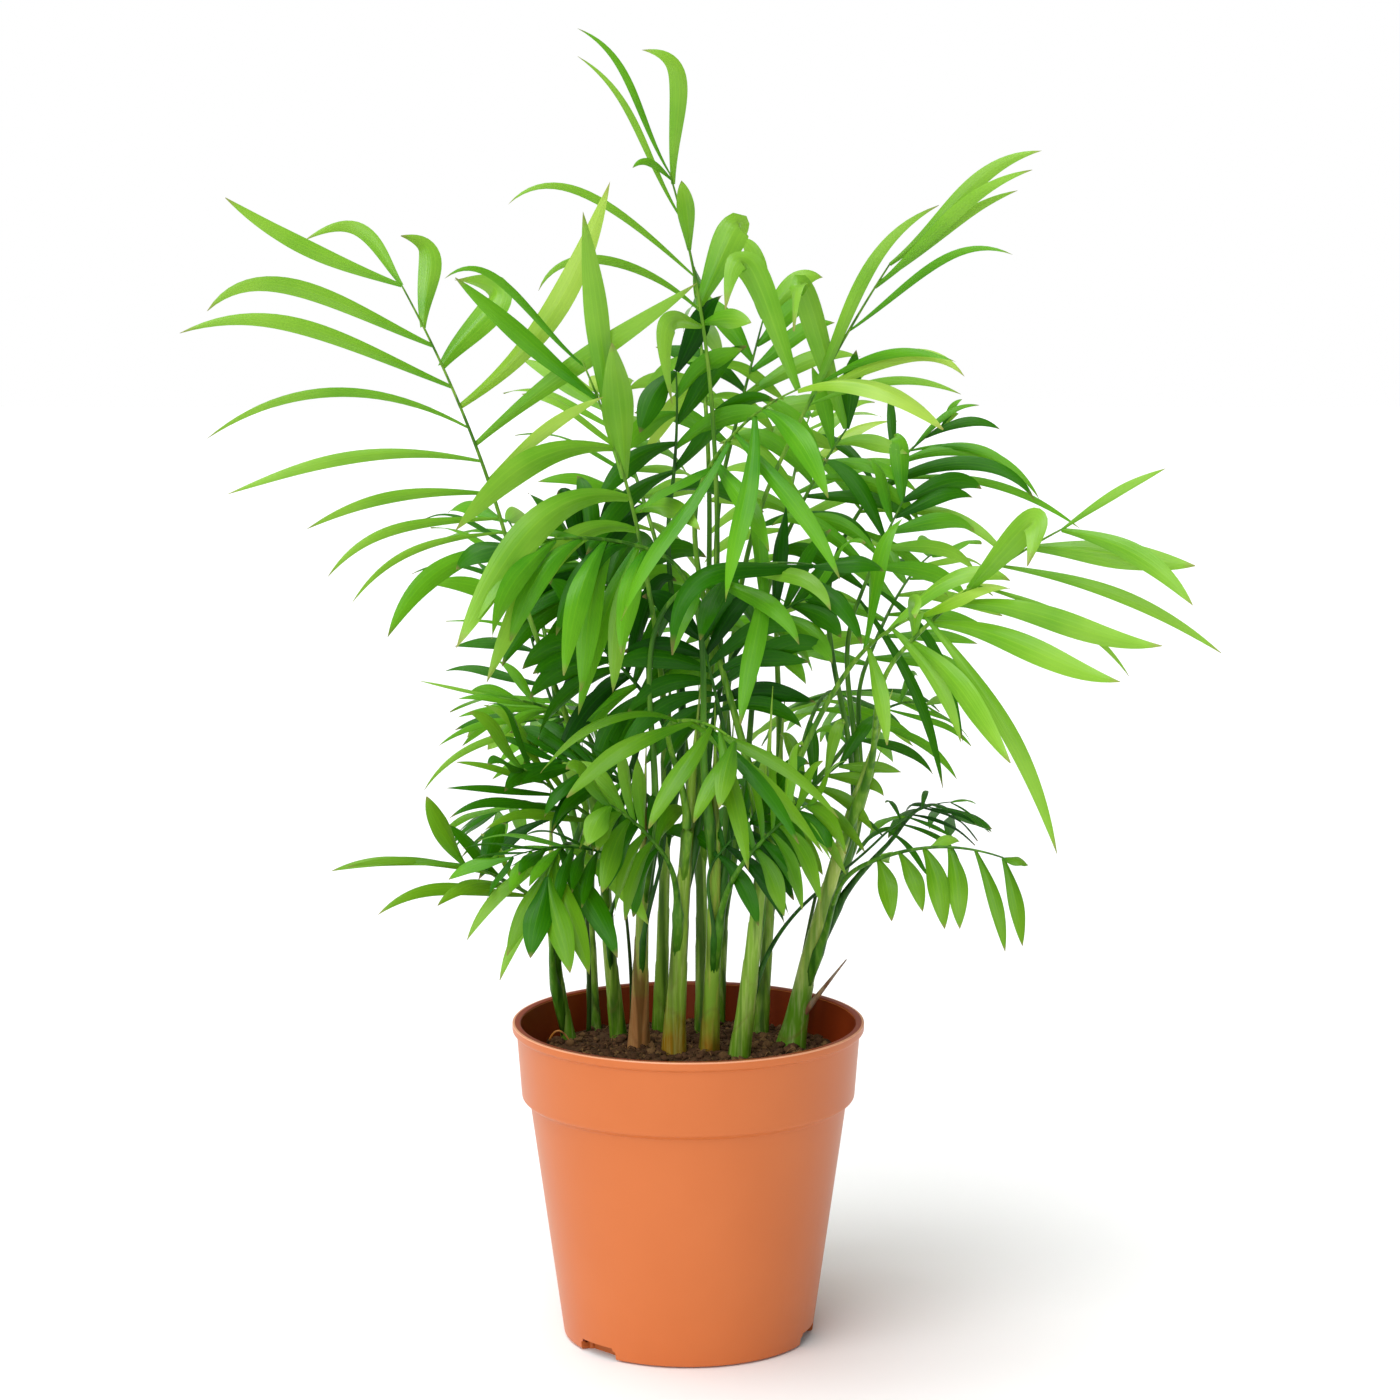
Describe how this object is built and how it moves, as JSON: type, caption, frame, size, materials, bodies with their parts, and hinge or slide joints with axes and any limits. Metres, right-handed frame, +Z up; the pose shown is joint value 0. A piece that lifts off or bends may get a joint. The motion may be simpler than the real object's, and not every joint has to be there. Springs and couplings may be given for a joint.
{
  "type": "potted cat palm",
  "caption": "Young feather-leaved palm: a bunch of slender green stems with arching fronds, growing in a round tapered plastic nursery pot.",
  "frame": {"origin": "centre of the pot's flat underside", "axes": "+Z up along the pot's axis, -Y towards the front that is seen first, +X to the right from the front"},
  "size_m": [0.3217, 0.2664, 0.4434],
  "materials": {
    "pot": "satin",
    "compost": "matte",
    "stem": "satin",
    "frond": "satin"
  },
  "bodies": {
    "root": {"compost": "compost", "frond_back_high": "frond", "frond_back_left_high": "frond", "frond_back_left_low": "frond", "frond_back_left_mid": "frond", "frond_back_low": "frond", "frond_back_mid": "frond", "frond_back_right_high": "frond", "frond_back_right_mid": "frond", "frond_back_top": "frond", "frond_centre_high": "frond", "frond_centre_inner": "frond", "frond_centre_left": "frond", "frond_centre_left_high": "frond", "frond_centre_low": "frond", "frond_centre_right": "frond", "frond_far_right_high": "frond", "frond_far_right_low": "frond", "frond_front_high": "frond", "frond_front_left": "frond", "frond_front_low": "frond", "frond_front_right": "frond", "frond_left_hanging": "frond", "frond_left_high": "frond", "frond_left_inner": "frond", "frond_left_low": "frond", "frond_left_lower": "frond", "frond_left_middle": "frond", "frond_left_thin": "frond", "frond_low_centre": "frond", "frond_low_right": "frond", "frond_low_right_front": "frond", "frond_right_hanging": "frond", "frond_right_high": "frond", "frond_right_inner": "frond", "frond_right_low": "frond", "frond_right_middle": "frond", "frond_right_small": "frond", "frond_right_upper": "frond", "frond_right_upper_inner": "frond", "frond_right_wide": "frond", "frond_top": "frond", "pot": "pot", "stem_back": "stem", "stem_back_left": "stem", "stem_back_right": "stem", "stem_bright": "stem", "stem_brown": "stem", "stem_far_right": "stem", "stem_front_left": "stem", "stem_inner_back": "stem", "stem_inner_left": "stem", "stem_left": "stem", "stem_middle": "stem", "stem_right": "stem", "stem_tan": "stem"}
  },
  "joints": []
}
